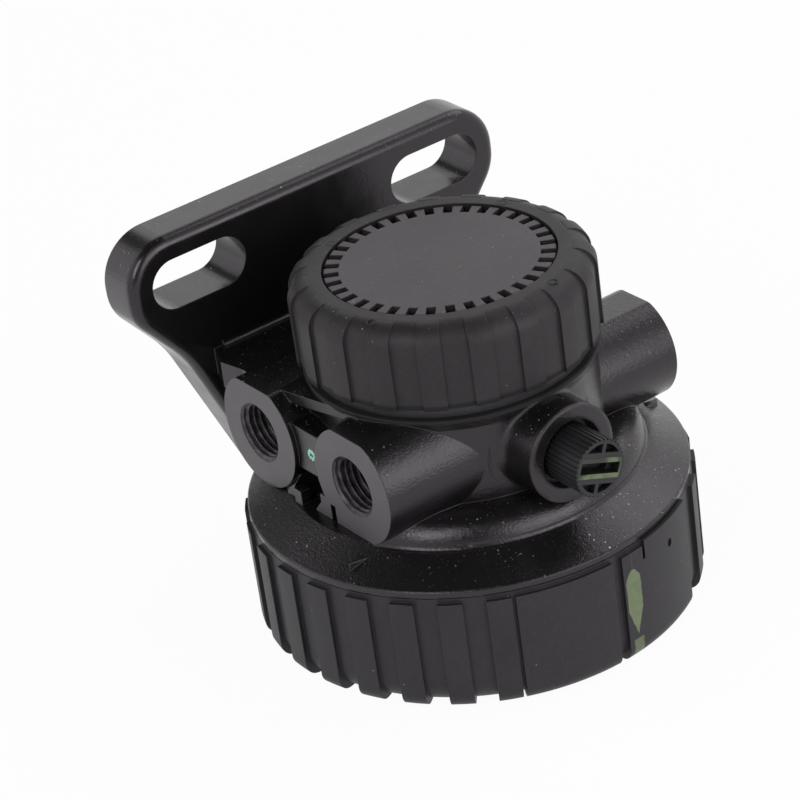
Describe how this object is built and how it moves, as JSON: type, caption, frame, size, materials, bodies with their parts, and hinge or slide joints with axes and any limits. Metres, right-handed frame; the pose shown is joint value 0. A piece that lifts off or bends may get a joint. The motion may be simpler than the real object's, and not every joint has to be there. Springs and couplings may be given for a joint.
{
  "type": "fuel priming pump",
  "caption": "Diesel filter head with a push and turn hand primer, bracket plate, threaded side ports, vent screw and ribbed locking collar.",
  "frame": {"origin": "on the pump axis, in the plane of the foot of the locking collar", "axes": "+Z along the pump axis, up through the primer knob; +Y towards the bracket plate; -Y towards the vent screw"},
  "size_m": [0.1028, 0.109, 0.0896],
  "materials": {
    "head_coating": "semi-gloss black coating on die-cast alloy",
    "knob_plastic": "fine-grained charcoal moulding",
    "cover_plastic": "fine-grained charcoal moulding",
    "collar_plastic": "satin charcoal moulding",
    "vent_plastic": "satin black moulding",
    "vent_green": "dull green moulding",
    "inner_plastic": "smooth black moulding",
    "piston_plastic": "natural acetal",
    "valve_rubber": "smooth",
    "seal_rubber": "smooth",
    "plated_steel": "zinc plated",
    "spring_steel": "bright wire"
  },
  "bodies": {
    "head": {"head_casting": "head_coating", "valve_plate": "inner_plastic", "inlet_valve": "valve_rubber", "outlet_valve": "valve_rubber", "pump_barrel": "inner_plastic", "barrel_seal": "seal_rubber", "barrel_screws": "plated_steel", "barrel_cap": "inner_plastic", "stem_wiper": "seal_rubber", "collar_ring": "spring_steel", "filter_seal": "seal_rubber", "filter_spud": "plated_steel", "spud_seal": "seal_rubber"},
    "plunger": {"piston": "piston_plastic", "piston_seal": "seal_rubber", "knob_washer": "plated_steel", "knob_screw": "plated_steel"},
    "knob": {"primer_knob": "knob_plastic", "knob_cover": "cover_plastic"},
    "vent_slide": {"vent_seal": "seal_rubber"},
    "vent": {"vent_knob": "vent_plastic", "vent_stem": "vent_green"},
    "collar": {"locking_collar": "collar_plastic"}
  },
  "joints": [
    {"name": "primer_stroke", "type": "slide", "parent": "head", "child": "plunger", "axis": [0, 0, 1], "range_m": [0, 0.013]},
    {"name": "knob_turn", "type": "hinge", "parent": "plunger", "child": "knob", "pos_m": [0, 0, 0.0649], "axis": [0, 0, 1], "range_deg": [-55, 0]},
    {"name": "vent_lift", "type": "slide", "parent": "head", "child": "vent_slide", "axis": [0, -1, 0], "range_m": [0, 0.00187]},
    {"name": "vent_turn", "type": "hinge", "parent": "vent_slide", "child": "vent", "pos_m": [0, -0.04, 0.05], "axis": [0, -1, 0], "range_deg": [0, 540]},
    {"name": "collar_turn", "type": "hinge", "parent": "head", "child": "collar", "pos_m": [0, 0, 0.018], "axis": [0, 0, 1], "range_deg": [0, 60]}
  ],
  "couplings": [
    {"joint": "vent_turn", "follows": "vent_lift", "rad_per_m": 5026.5}
  ]
}
